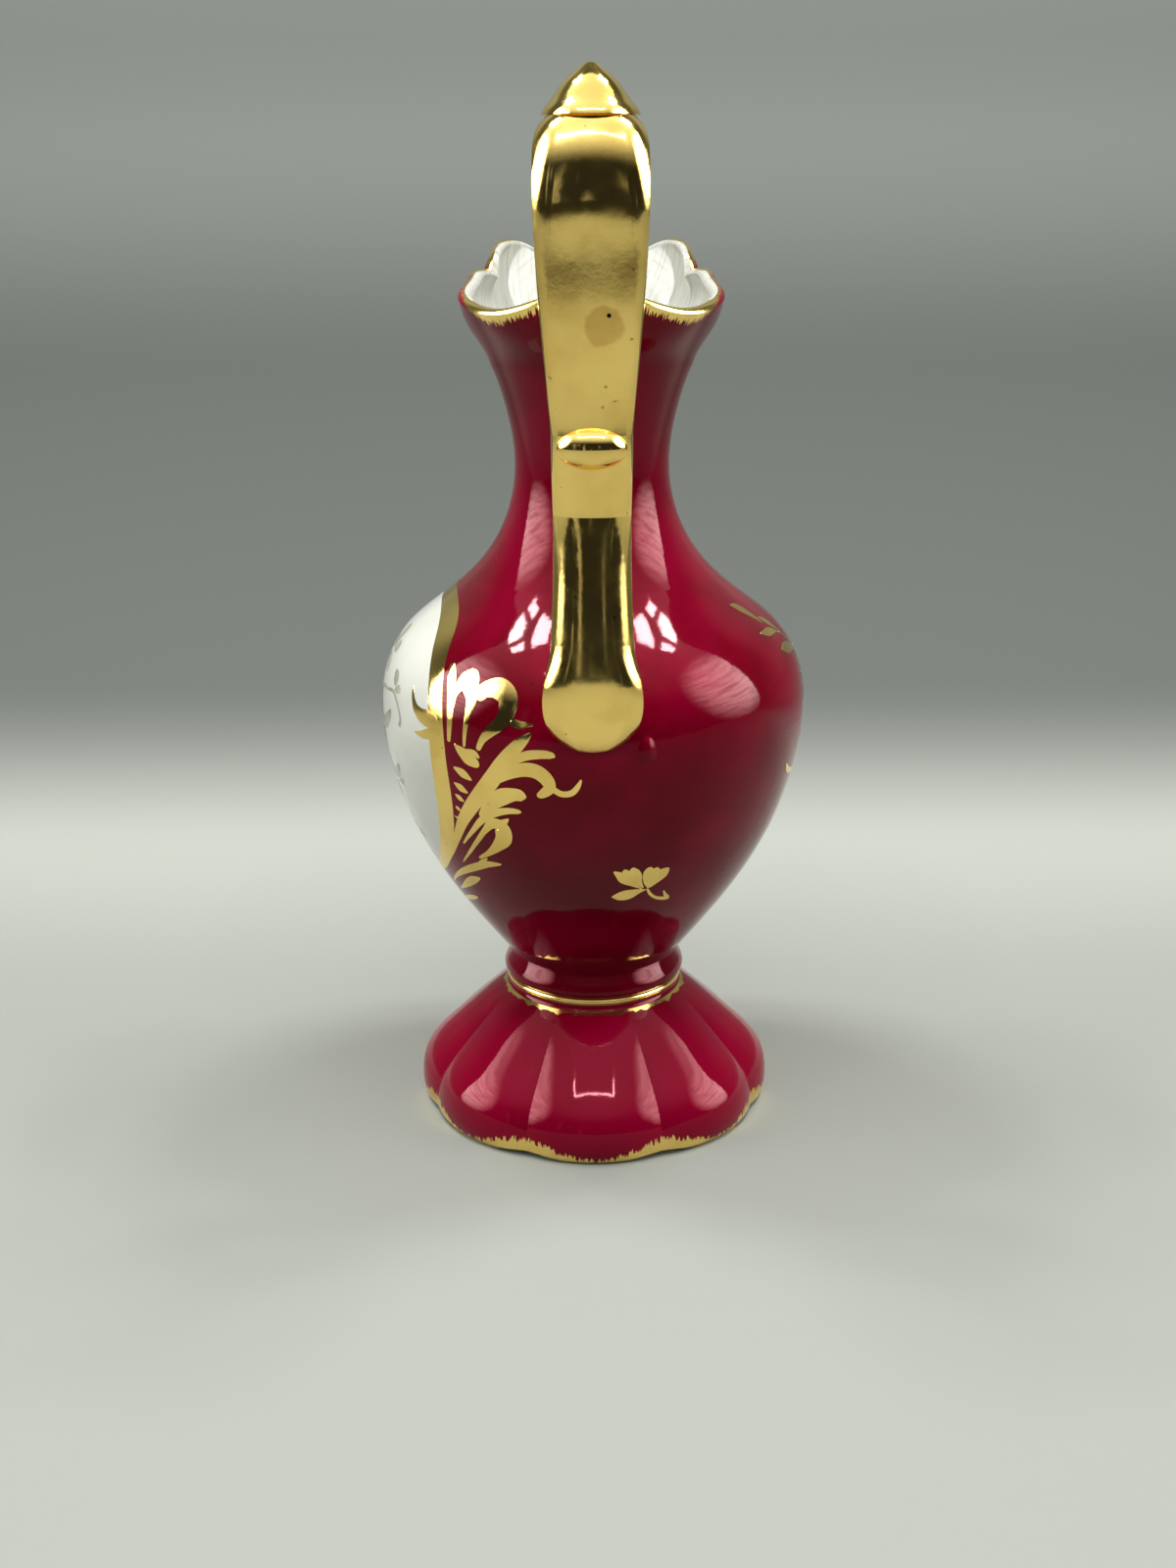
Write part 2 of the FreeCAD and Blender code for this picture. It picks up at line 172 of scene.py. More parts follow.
def stroke(path, lift, rise, count=72, across=9):
    """A stroke of the brush on the body's wall, as a grid of points.

    Each row of the path is an angle in degrees, a height and a width in millimetres. The stroke is
    carried along the smooth path, at right angles to it on the wall, with round ends: near an end
    the width follows a circle. Across, it stands off the wall by a lift plus a rise times one less
    the fourth power of the place across.
    """
    thinnest, least_end, steepest = 0.05, 0.02, 1.5
    # Added along the stroke, so that one that runs level has no two equal heights.
    hair = 1e-9 * np.arange(count)
    rows = smooth_path(path, count)
    angle, height, width = rows[:, 0], rows[:, 1] * MM, np.maximum(rows[:, 2], thinnest) * MM
    radius = np.interp(height, wall_heights, wall_radii)
    slope = np.gradient(radius, height + hair)
    per_degree = radius * math.pi / 180
    per_height = np.sqrt(1 + np.clip(slope, -steepest, steepest) ** 2)
    along_x = np.gradient(angle) * per_degree
    along_y = np.gradient(height) * per_height
    step = np.hypot(along_x, along_y) + 1e-12
    travelled = np.cumsum(step) - step[0]
    to_end = np.minimum(travelled, travelled[-1] - travelled)
    half = width / 2
    near = np.clip(to_end / half, 0, 1)
    half = half * np.sqrt(np.clip(1 - (1 - near) ** 2, least_end**2, 1))
    side = np.linspace(-1, 1, across)
    move_x = -along_y / step / per_degree
    move_y = along_x / step / per_height
    grid_angle = angle[:, None] + (move_x * half)[:, None] * side
    grid_height = height[:, None] + (move_y * half)[:, None] * side
    stand = (lift + rise * (1 - side**4)) * MM
    return on_body(grid_angle, grid_height, stand[None, :])


def mesh_piece(name, grids, material):
    """One smooth object from grids of points, facing outward and riding on the jug's body."""
    points, faces, start = [], [], 0
    for grid in grids:
        rows, columns = grid.shape[:2]
        points.append(grid.reshape(-1, 3))
        faces.append(grid_faces(rows, columns, start))
        start += rows * columns
    mesh = bpy.data.meshes.new(name)
    mesh.from_pydata(np.concatenate(points), [], np.concatenate(faces))
    mesh.polygons.foreach_set("use_smooth", np.ones(len(mesh.polygons), bool))
    mesh.materials.append(material)
    piece = bpy.data.objects.new(name, mesh)
    bpy.context.scene.collection.objects.link(piece)
    face_outward(mesh)
    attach(piece, "root")
    return piece


def face_outward(mesh):
    """Flips the mesh if most of its faces point towards the jug's axis."""
    normals = np.empty(len(mesh.polygons) * 3)
    centres = np.empty(len(mesh.polygons) * 3)
    mesh.polygons.foreach_get("normal", normals)
    mesh.polygons.foreach_get("center", centres)
    outward = (normals.reshape(-1, 3) * centres.reshape(-1, 3))[:, :2].sum(1)
    if np.median(outward) < 0:
        mesh.flip_normals()


# Shader maths


class Wire:
    """A shader socket. Python's operators on it add Math nodes, and node() adds any other node."""

    def __init__(self, tree, socket=None):
        self.tree = tree
        self.socket = socket

    def node(self, kind, settings=(), inputs=(), output=0):
        """Adds a node, sets its settings, then fills or links its sockets, and returns an output."""
        made = self.tree.nodes.new(kind)
        for name, value in dict(settings).items():
            setattr(made, name, value)
        for name, value in dict(inputs).items():
            if isinstance(value, Wire):
                self.tree.links.new(value.socket, made.inputs[name])
            else:
                made.inputs[name].default_value = value
        return Wire(self.tree, made.outputs[output])

    def math(self, operation, *values):
        """A Math node's result for the values."""
        return self.node("ShaderNodeMath", {"operation": operation}, dict(enumerate(values)))

    def __add__(self, other):
        return self.math("ADD", self, other)

    def __sub__(self, other):
        return self.math("SUBTRACT", self, other)

    def __rsub__(self, other):
        return self.math("SUBTRACT", other, self)

    def __mul__(self, other):
        return self.math("MULTIPLY", self, other)

    def __truediv__(self, other):
        return self.math("DIVIDE", self, other)

    def __pow__(self, other):
        return self.math("POWER", self, other)

    __radd__ = __add__
    __rmul__ = __mul__

    def step(self, low, high):
        """0 below low, 1 above high and smooth between them."""
        settings = {"interpolation_type": "SMOOTHSTEP"}
        return self.node("ShaderNodeMapRange", settings, {"Value": self, "From Min": low, "From Max": high})

    def clamped(self):
        """The value kept between 0 and 1."""
        return self.node("ShaderNodeClamp", {}, {"Value": self})

    def parts(self):
        """The x, y and z of a vector."""
        made = self.tree.nodes.new("ShaderNodeSeparateXYZ")
        self.tree.links.new(self.socket, made.inputs[0])
        return [Wire(self.tree, out) for out in made.outputs]

    def join(self, x, y, z):
        """A vector from its x, y and z."""
        return self.node("ShaderNodeCombineXYZ", {}, {"X": x, "Y": y, "Z": z})

    def curve(self, place, heights):
        """The smooth curve through heights that lie at even places from 0 to 1."""
        made = self.tree.nodes.new("ShaderNodeFloatCurve")
        points = made.mapping.curves[0].points
        places = np.linspace(0, 1, len(heights))
        for where, height in zip(places[1:-1], heights[1:-1]):
            points.new(where, height)
        points[0].location = (0.0, heights[0])
        points[len(points) - 1].location = (1.0, heights[-1])
        made.mapping.update()
        self.tree.links.new(place.socket, made.inputs["Value"])
        return Wire(self.tree, made.outputs[0])

    def noise(self, vector, scale, detail=2.0, roughness=0.5):
        """Smooth noise, mostly between 0.3 and 0.7."""
        inputs = {"Vector": vector, "Scale": scale, "Detail": detail, "Roughness": roughness}
        return self.node("ShaderNodeTexNoise", {}, inputs)

    def blend(self, share, low, high):
        """The colour low where the share is 0 and high where it is 1."""
        # Inputs 0, 6 and 7 of this node are its factor and its two colours, and output 2 its colour.
        return self.node("ShaderNodeMix", {"data_type": "RGBA"}, {0: share, 6: low, 7: high}, 2)


def rgba(colour):
    """A colour with full alpha."""
    return (colour[0], colour[1], colour[2], 1.0)


def start_material(name):
    """A new node material with only its output, and a wire to build on."""
    material = bpy.data.materials.new(name)
    material.use_nodes = True
    material.node_tree.nodes.clear()
    return material, Wire(material.node_tree)


def finish_material(wire, surface):
    """Links the shader to the material's output."""
    output = wire.tree.nodes.new("ShaderNodeOutputMaterial")
    wire.tree.links.new(surface.socket, output.inputs["Surface"])


def object_place(wire):
    """The place on the object, its x, y and z, and the angle from the handle towards +X in radians."""
    place = wire.node("ShaderNodeTexCoord", output="Object")
    x, y, z = place.parts()
    return place, x, y, z, wire.math("ARCTAN2", x, y * -1.0)


def outwardness(wire, x, y):
    """Above 0 where the surface faces away from the jug's axis, and below 0 inside it."""
    nx, ny, _ = wire.node("ShaderNodeNewGeometry", output="Normal").parts()
    return (nx * x + ny * y) / wire.math("SQRT", x * x + y * y)


def wobble(wire, place, strength, scale, fine):
    """The slight unevenness of a fired glaze, as a normal: slow waves and a fine orange peel."""
    waves = wire.noise(place, scale, 1.0)
    peel = wire.noise(place, fine, 2.0)
    height = waves + peel * 0.12
    return wire.node("ShaderNodeBump", {}, {"Strength": 1.0, "Distance": strength * MM, "Height": height})


def glaze_colour(wire, place, settings):
    """Crimson enamel: cloudy where the coat pools, lighter on the foot as painted light, with a few darker
    specks.
    """
    _, _, z = place.parts()
    lobes_top, stem = 22.0 * MM, 36.0 * MM
    # Painted light: the foot is lighter crimson, fading out up to the stem, in place of light from above on
    # it.
    thin = (1.0 - z.step(lobes_top, stem)) * 0.75
    cloud = (wire.noise(place, 38.0, 3.0).step(0.35, 0.68) + thin).clamped()
    speck = wire.noise(place, 620.0, 1.0).step(0.77, 0.8)
    colour = wire.blend(cloud, rgba(settings.crimson), rgba(settings.crimson_light))
    return wire.blend(speck * 0.5, colour, rgba([c * 0.35 for c in settings.crimson]))


def white_colour(wire, place, settings):
    """White porcelain glaze, a little uneven."""
    cloud = wire.noise(place, 55.0, 2.0).step(0.3, 0.75)
    return wire.blend(cloud, rgba(settings.white), rgba([c * 0.93 for c in settings.white]))


def gold_colour(wire, place, settings):
    """Bright gold, thinner and browner in patches where the brush left less of it."""
    patch = wire.noise(place, 90.0, 3.0).step(0.42, 0.7)
    return wire.blend(patch, rgba(settings.gold), rgba(settings.gold_worn))


def coat(wire, colour, roughness, bumps, constants):
    """One smooth coat with its colour, roughness, bumps and constant settings."""
    inputs = {"Base Color": colour, "Roughness": roughness, "Normal": bumps}
    return wire.node("ShaderNodeBsdfPrincipled", {}, {**inputs, **constants})


def laid_over(wire, share, under, over):
    """One shader on top of another: under where the share is 0 and over where it is 1."""
    return wire.node("ShaderNodeMixShader", {}, {0: share, 1: under, 2: over})


def shaded_mouth_white(wire, glazed, settings, z, angle, streaks):
    """Painted shade in the mouth's white, with fine slanted grey lines, fading out down towards the neck."""
    lines = wire.join(angle * 9.0 + z * 70.0, z * 9.0, 0.0)
    flute = wire.noise(lines, 3.2, 3.0, 0.7).step(0.47, 0.66)
    # Painted shade: the mouth's white is darker, and darker still in the grooves of its flutes.
    shaded, groove = ([c * share for c in settings.white] for share in (0.66, 0.32))
    flute_shade = wire.blend(flute * streaks, rgba(shaded), rgba(groove))
    base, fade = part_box("lip")[0].z, 14.0 * MM
    return wire.blend(z.step(base, base + fade), glazed, flute_shade)


def porcelain(name, settings, white=None, gold=None, streaks=0.0):
    """Glazed porcelain, crimson with white and gold areas.

    white and gold are functions of the wire and the place that give a share from 0 to 1.
    streaks is how strongly the painted shade of fine slanted grey lines shows in the white.
    """
    material, wire = start_material(name)
    place, x, y, z, angle = object_place(wire)
    bumps = wobble(wire, place, settings.glaze_wobble, 70.0, 900.0)
    roughness = settings.glaze_roughness
    tinted = {"IOR": GLAZE_IOR, "Specular Tint": GLAZE_TINT}
    shader = coat(wire, glaze_colour(wire, place, settings), roughness, bumps, tinted)
    if white:
        glazed = white_colour(wire, place, settings)
        if streaks:
            glazed = shaded_mouth_white(wire, glazed, settings, z, angle, streaks)
        pale = coat(wire, glazed, roughness, bumps, {"IOR": GLAZE_IOR})
        shader = laid_over(wire, white(wire, place, x, y, z, angle), shader, pale)
    if gold:
        colour = gold_colour(wire, place, settings)
        gilt = coat(wire, colour, settings.gold_roughness, bumps, {"Metallic": 1.0})
        shader = laid_over(wire, gold(wire, place, x, y, z, angle), shader, gilt)
    finish_material(wire, shader)
    return material


def gilding(name, settings, marks=None):
    """Burnished gold over glaze: wavy, with worn patches, pin specks and fine rubbing marks."""
    material, wire = start_material(name)
    place, x, _, z, _ = object_place(wire)
    colour = gold_colour(wire, place, settings)
    speck = wire.noise(place, 520.0, 1.0).step(0.74, 0.78)
    colour = wire.blend(speck * 0.7, colour, rgba([c * 0.3 for c in settings.gold_worn]))
    rubbed = wire.noise(place, 130.0, 4.0, 0.6).step(0.35, 0.8)
    roughness = (rubbed + 0.5) * settings.gold_roughness
    if marks:
        stain, dot = marks(wire, place, x, z)
        colour = wire.blend(stain, colour, rgba(settings.stain))
        colour = wire.blend(dot, colour, rgba(NEARLY_BLACK))
        roughness = roughness + stain * 0.12
    bumps = wobble(wire, place, settings.gold_wobble, 55.0, 700.0)
    finish_material(wire, coat(wire, colour, roughness, bumps, {"Metallic": 1.0}))
    return material


# Where white and gold lie on the porcelain


def inner_white(wire, place, x, y, z, angle):
    """White where the wall faces the jug's axis."""
    return 1.0 - outwardness(wire, x, y).step(-0.06, 0.06)


def reserve_white(ornament):
    """White inside, and on the left side within the reserve's oval.

    Seen from that side, a point is in the oval where its two distances from the centre, each over
    the half axis and raised to the oval's power, add up to less than one.
    """

    def share(wire, place, x, y, z, angle):
        middle = (ornament.frame_outer + ornament.frame_inner) / 2
        top = (ornament.frame_outer_top + ornament.frame_inner_top) / 2
        centre = (ornament.frame_outer_height + ornament.frame_inner_height) / 2
        upper = (z - centre).step(-0.2 * MM, 0.2 * MM)
        half_height = upper * (top - ornament.frame_bottom) + ornament.frame_bottom
        across = wire.math("ABSOLUTE", y) / middle
        up = wire.math("ABSOLUTE", z - centre) / half_height
        oval = 1.0 - (across**ornament.oval_power + up**ornament.oval_power).step(0.985, 1.015)
        left = (x * -1.0).step(0.0, MM)
        return wire.math("MAXIMUM", inner_white(wire, place, x, y, z, angle), oval * left)

    return share


def foot_white(wire, place, x, y, z, angle):
    """White under the foot and on its standing ring."""
    _, _, nz = wire.node("ShaderNodeNewGeometry", output="Normal").parts()
    down = (nz * -1.0).step(0.9, 0.97)
    return wire.math("MAXIMUM", inner_white(wire, place, x, y, z, angle), down)


def brush_ends(wire, angle, z, fine):
    """Uneven ends of brush strokes side by side: noise over the angle, drawn out in height."""
    strokes = wire.join(angle * 14.0, z * 90.0, 0.0)
    return wire.noise(strokes, fine, 2.0, 0.7).step(0.34, 0.66) - 0.5


def lip_gold(ornament):
    """A gilt band below the rim outside and a thin line inside, worn at the sides, less so at the spout."""

    def share(wire, place, x, y, z, angle):
        lowest, highest = float(RIM.min()), float(RIM.max())
        turn = wire.math("ABSOLUTE", angle) / math.pi
        sides, spout = turn.step(0.24, 0.36), turn.step(0.52, 0.6)
        thin = 1.0 - (sides - spout * 0.55) * 0.86
        rim = wire.curve(turn, (RIM - lowest) / (highest - lowest)) * (highest - lowest) + lowest
        outside = outwardness(wire, x, y).step(-0.1, 0.1)
        ends = brush_ends(wire, angle * 3.0, z, 1.6) * ornament.brush_raggedness
        depth = (outside * (ends + ornament.rim_band) + ornament.rim_line) * thin
        return 1.0 - (rim - z - depth).step(-0.2 * MM, 0.2 * MM)

    return share


def foot_gold(ornament):
    """A gilt hem, high in the valleys and thin on the lobes, and a ragged line round the top."""

    def share(wire, place, x, y, z, angle):
        valley = (1.0 - wire.math("COSINE", angle * float(LOBES))) * 0.5
        ends = brush_ends(wire, angle * 3.0, z, 1.4) * ornament.brush_raggedness
        hem = valley * ornament.hem_band + ends + ornament.hem_line
        outside = outwardness(wire, x, y).step(0.0, 0.1)
        low = 1.0 - (z - hem).step(-0.2 * MM, 0.2 * MM)
        drips = (wire.noise(wire.join(angle * 2.0, 0.0, 0.0), 3.0, 3.0) - 0.5) * (2.4 * MM)
        high = (z + drips - (FOOT_TOP - ornament.top_line)).step(-0.1 * MM, 0.1 * MM)
        return wire.math("MAXIMUM", low * outside, high)

    return share


def bead_gold(wire, place, x, y, z, angle):
    """Gold on the bead above the groove."""
    low, high = (corner.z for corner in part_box("stem_ring"))
    groove, bead = 0.46, 0.52
    return z.step(low + groove * (high - low), low + bead * (high - low))


def strap_marks(wire, place, x, z):
    """A round tan stain on the upper strap with a small black dot in it."""

    def away(across, up):
        side, rise = x - across, z - up
        return wire.math("SQRT", side * side + rise * rise)

    edge = (wire.noise(place, 330.0, 2.0) - 0.5) * (2.2 * MM)
    stain = (1.0 - (away(*STAIN_PLACE) + edge).step(3.6 * MM, 4.6 * MM)) * 0.5
    dot = 1.0 - away(*DOT_PLACE).step(0.35 * MM, 0.6 * MM)
    return stain, dot


RIM = rim_heights(count=37)
FOOT_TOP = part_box("foot")[1].z
STRAP_LOW, STRAP_HIGH = (corner.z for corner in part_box("handle_upper_strap"))
# x and z of the strap's stain and of the dot in it.
STAIN_PLACE = (2.6 * MM, STRAP_LOW + 0.34 * (STRAP_HIGH - STRAP_LOW))
DOT_PLACE = (3.6 * MM, STAIN_PLACE[1] + 2.2 * MM)

# Brush strokes. Each row is an angle in degrees from the handle towards +X, a height and a width in mm.

PALMETTE = (
    ((-39.1, 108.1, 1.0), (-39.1, 113.5, 1.7), (-39.8, 118.5, 2.2), (-41.3, 122.2, 2.5), (-43.3, 125.3, 1.3)),
    (
        (-34.1, 107.7, 0.7), (-33.9, 111.8, 1.2), (-33.3, 116.0, 1.8), (-33.1, 119.3, 3.3),
        (-34.7, 122.2, 4.8), (-35.5, 125.0, 3.7),
    ),
    ((-38.4, 116.0, 0.7), (-38.4, 119.2, 1.2), (-37.1, 121.8, 3.2), (-35.7, 124.1, 3.7)),
    (
        (-31.6, 119.0, 3.2), (-29.3, 121.2, 3.8), (-25.5, 121.8, 5.0), (-22.5, 120.2, 4.8),
        (-22.2, 117.0, 4.2), (-23.8, 114.5, 3.3), (-26.3, 112.5, 2.7), (-28.5, 110.3, 1.8),
        (-30.0, 107.5, 1.2),
    ),
    ((-21.0, 115.0, 2.0), (-18.6, 114.6, 1.8), (-16.7, 114.7, 1.2), (-15.0, 114.7, 0.3)),
    ((-37.3, 107.9, 0.4), (-35.4, 106.7, 2.2), (-32.7, 105.2, 3.5), (-29.7, 103.7, 1.5)),
    ((-34.5, 106.5, 1.5), (-31.2, 106.7, 1.5), (-29.5, 105.7, 0.5)),
)
LOZENGES = (
    ((-38.0, 102.2, 0.5), (-35.1, 101.1, 2.2), (-32.4, 99.8, 0.5)),
    ((-38.5, 98.2, 0.4), (-36.4, 97.2, 1.9), (-34.2, 96.2, 0.4)),
    ((-38.8, 95.2, 0.3), (-37.4, 94.4, 1.4), (-36.0, 93.7, 0.3)),
    ((-39.5, 91.9, 0.3), (-38.8, 91.4, 1.0), (-37.9, 90.9, 0.3)),
    ((-40.8, 89.0, 0.2), (-39.9, 88.7, 0.7), (-39.1, 88.3, 0.2)),
)
FRONDS = (
    (
        (-52.5, 73.7, 0.3), (-47.1, 78.1, 1.3), (-42.3, 83.1, 2.2), (-38.2, 88.1, 3.0),
        (-33.9, 92.8, 3.7), (-30.1, 96.8, 4.0), (-26.1, 101.2, 4.2), (-22.8, 105.6, 3.7),
        (-19.8, 108.9, 3.2), (-17.2, 111.4, 2.3), (-15.4, 113.0, 0.5),
    ),
    (
        (-24.3, 102.7, 0.7), (-21.2, 105.4, 1.8), (-17.2, 107.5, 2.2), (-13.4, 108.2, 2.1),
        (-10.5, 108.2, 1.7), (-9.3, 107.8, 0.5),
    ),
    (
        (-24.8, 100.6, 1.2), (-21.5, 102.8, 2.5), (-17.7, 104.2, 3.3), (-14.3, 104.1, 3.5),
        (-11.7, 102.4, 3.3), (-10.9, 100.3, 2.8), (-12.5, 98.8, 2.2), (-14.2, 97.9, 1.3),
    ),
    ((-10.4, 100.2, 1.5), (-7.9, 98.9, 1.5), (-5.4, 99.2, 1.5), (-3.8, 100.8, 1.2), (-2.9, 102.6, 0.4)),
    (
        (-31.5, 90.6, 1.2), (-27.7, 94.3, 3.2), (-23.9, 96.8, 4.2), (-20.5, 97.8, 3.3),
        (-18.4, 97.7, 2.8), (-17.1, 97.5, 1.0),
    ),
    (
        (-40.6, 81.4, 0.5), (-35.3, 86.0, 1.2), (-31.0, 89.8, 1.8), (-26.7, 92.2, 2.0),
        (-22.9, 93.3, 1.7), (-20.0, 93.5, 1.3), (-18.8, 93.5, 0.4),
    ),
    (
        (-44.4, 75.2, 0.3), (-39.1, 79.3, 0.8), (-34.4, 83.5, 1.2), (-31.0, 86.8, 1.5),
        (-28.0, 89.2, 2.7), (-25.3, 88.5, 4.2), (-25.3, 85.6, 4.2), (-28.0, 82.9, 2.7),
        (-31.5, 80.5, 1.5), (-36.0, 78.2, 0.7),
    ),
    ((-26.4, 88.7, 2.5), (-24.0, 90.3, 1.5), (-22.7, 91.3, 0.3)),
    (
        (-61.1, 65.6, 0.3), (-54.0, 68.9, 1.0), (-46.3, 72.2, 1.8), (-39.6, 74.8, 2.2),
        (-33.9, 76.8, 2.0), (-30.1, 77.5, 1.2), (-28.1, 77.8, 0.3),
    ),
    ((-39.1, 74.8, 0.5), (-35.3, 77.2, 1.3), (-32.7, 78.8, 0.3)),
    (
        (-58.7, 63.9, 0.3), (-53.0, 66.0, 1.2), (-47.7, 68.3, 2.2), (-43.4, 70.2, 2.3),
        (-40.6, 71.2, 1.2), (-39.4, 71.7, 0.3),
    ),
    ((-65.4, 58.9, 0.3), (-59.7, 60.8, 1.2), (-54.0, 62.2, 1.8), (-49.7, 63.3, 1.2), (-47.5, 63.8, 0.3)),
)
THORNS = (
    (
        (-43.4, 112.2, 4.3), (-47.1, 112.2, 4.2), (-49.9, 112.5, 3.3), (-52.5, 113.5, 2.3),
        (-54.2, 115.2, 1.4), (-55.3, 117.0, 0.8), (-55.8, 118.3, 0.2),
    ),
    ((-42.5, 109.0, 3.3), (-46.3, 108.7, 2.7), (-49.7, 108.0, 1.7), (-52.7, 107.9, 0.2)),
)
TREFOIL = (
    ((15.3, 71.9, 0.3), (12.4, 73.4, 1.2), (9.6, 75.0, 2.5), (8.1, 76.4, 2.3), (5.9, 77.8, 0.4)),
    ((15.8, 72.1, 0.3), (14.1, 73.9, 1.5), (12.9, 75.8, 2.8), (11.9, 77.5, 2.5), (11.5, 78.7, 0.7)),
    ((10.5, 75.6, 1.6), (9.7, 76.9, 2.2), (9.1, 78.3, 0.8)),
    ((17.4, 71.9, 0.3), (16.7, 73.9, 1.8), (16.6, 76.4, 2.8), (16.8, 78.4, 1.6)),
    ((17.5, 72.3, 0.5), (18.2, 74.8, 2.5), (18.7, 76.9, 2.8), (18.9, 78.1, 1.0)),
    ((17.8, 72.0, 0.3), (19.1, 73.9, 2.2), (20.8, 75.8, 3.3), (22.2, 77.0, 2.0), (22.8, 77.5, 0.4)),
    ((16.8, 71.5, 0.3), (14.3, 71.2, 1.8), (11.0, 70.4, 3.5), (8.1, 70.0, 2.8), (5.8, 69.9, 0.4)),
    (
        (17.0, 71.9, 0.5), (18.6, 70.0, 0.8), (20.5, 68.7, 0.9), (22.9, 68.0, 1.2),
        (25.3, 67.7, 1.2), (26.4, 67.5, 0.3),
    ),
    ((25.8, 67.8, 1.2), (24.4, 68.9, 0.9), (23.2, 70.4, 0.3)),
)
SPRAY = (
    ((64.5, 134.5, 0.5), (68.4, 133.4, 3.0), (71.2, 131.4, 2.2), (72.6, 129.3, 0.6)),
    ((64.7, 128.3, 0.4), (68.3, 127.8, 2.0), (72.6, 127.6, 2.2), (76.4, 127.0, 1.2), (79.3, 126.0, 0.4)),
    ((70.2, 123.7, 0.4), (74.5, 123.2, 3.0), (79.3, 122.7, 2.8), (84.0, 121.8, 1.7), (88.0, 120.5, 0.8)),
    ((73.5, 130.6, 0.6), (77.0, 129.0, 2.4), (81.0, 126.0, 0.8)),
    ((79.0, 126.4, 0.8), (84.0, 122.8, 1.2), (87.6, 117.0, 1.4), (89.4, 110.0, 1.5)),
    (
        (64.9, 96.7, 0.4), (66.9, 95.0, 1.4), (69.7, 93.7, 1.6), (74.5, 92.7, 1.6),
        (80.0, 91.4, 1.4), (86.0, 87.6, 1.2), (89.6, 82.0, 0.9),
    ),
    ((88.0, 97.0, 0.8), (84.6, 99.6, 2.2), (81.8, 100.4, 1.6), (79.8, 100.2, 0.4)),
    ((88.6, 84.0, 0.8), (84.0, 82.6, 2.6), (79.6, 79.4, 2.4), (77.0, 75.6, 0.7)),
)
SPRAY_STEM = ((90.0, 110.0, 1.5), (90.4, 100.0, 1.7), (89.6, 90.0, 1.8), (90.0, 80.0, 1.6), (90.0, 72.0, 0.8))
POSY = (
    ((-72.6, 114.2, 0.7), (-67.0, 114.6, 0.9), (-63.0, 112.4, 0.9), (-60.8, 109.4, 1.0), (-61.6, 107.2, 1.3)),
    ((-69.4, 119.4, 1.0), (-67.4, 118.2, 3.0), (-66.4, 116.2, 2.2)),
    ((-66.4, 115.2, 0.8), (-64.0, 115.8, 2.2), (-62.2, 115.6, 1.0)),
    ((-82.0, 103.6, 1.2), (-76.0, 105.0, 3.2), (-70.6, 107.4, 3.0), (-67.8, 110.0, 0.9)),
    ((-73.0, 91.6, 0.9), (-69.6, 93.8, 3.0), (-66.0, 96.4, 1.0)),
    ((-71.0, 91.0, 0.8), (-67.6, 91.6, 1.8), (-65.6, 92.4, 0.8)),
    ((-80.0, 97.0, 0.9), (-75.6, 93.4, 1.0), (-72.0, 91.8, 0.9)),
    ((-71.4, 77.0, 0.8), (-68.6, 77.6, 1.8), (-65.6, 77.2, 0.8)),
    ((-84.0, 92.0, 0.9), (-79.0, 84.0, 1.0), (-72.0, 78.0, 0.9)),
    ((-84.0, 111.0, 0.9), (-79.0, 113.6, 1.0), (-72.6, 114.2, 0.8)),
    ((-81.0, 89.0, 0.8), (-77.0, 88.0, 3.2), (-73.6, 86.0, 0.9)),
    ((-88.0, 91.0, 0.9), (-86.6, 82.0, 1.1), (-88.6, 75.0, 0.8)),
)
# Blossoms. Each row is the angle and the height of the centre, the size in mm and the number of petals.
BLOSSOMS = ((-90.0, 104.0, 10.0, 7), (-98.0, 120.0, 6.4, 6), (-83.0, 122.0, 6.0, 5), (-101.0, 90.0, 6.4, 6))
GOLD_BLOSSOMS = ((90.0, 111.0, 6.0, 6),)


def mirrored(paths, about):
    """The same strokes on the other side of the upright line at an angle."""
    return tuple(tuple((2 * about - angle, height, width) for angle, height, width in path) for path in paths)


def blossom_paths(angle, height, size, petals):
    """Petals round a centre: each runs out from it at an even turn, widest three quarters of the way."""
    radius = float(np.interp(height * MM, wall_heights, wall_radii)) / MM
    per_mm = 180 / math.pi / radius
    paths = []
    for petal in range(petals):
        turn = 2 * math.pi * (petal + 0.25) / petals
        across, up = size * math.cos(turn) * per_mm, size * math.sin(turn)
        rows = ((angle + across * out, height + up * out, size * wide) for out, wide in PETAL_ROWS)
        paths.append(tuple(rows))
    return tuple(paths)


def painted(name, paths, rise, material):
    """One piece from many strokes, each a hair higher than the one before so that they don't coincide."""
    lifts = (FIRST_LIFT + NEXT_LIFT * (index % LIFTS) for index in range(len(paths)))
    return mesh_piece(name, [stroke(path, lift, rise) for path, lift in zip(paths, lifts)], material)


def oval(half_width, top, height, bottom, power, turn):
    """y and z of the reserve's oval in the side view, by turn.

    y is the half width times the cosine and z the height plus the top or bottom half axis times
    the sine, each raised to two over the oval's power with its sign kept.
    """
    cosine, sine = np.cos(turn), np.sin(turn)
    y = half_width * np.sign(cosine) * np.abs(cosine) ** (2 / power)
    z = height + np.where(sine > 0, top, bottom) * np.sign(sine) * np.abs(sine) ** (2 / power)
    return y, z


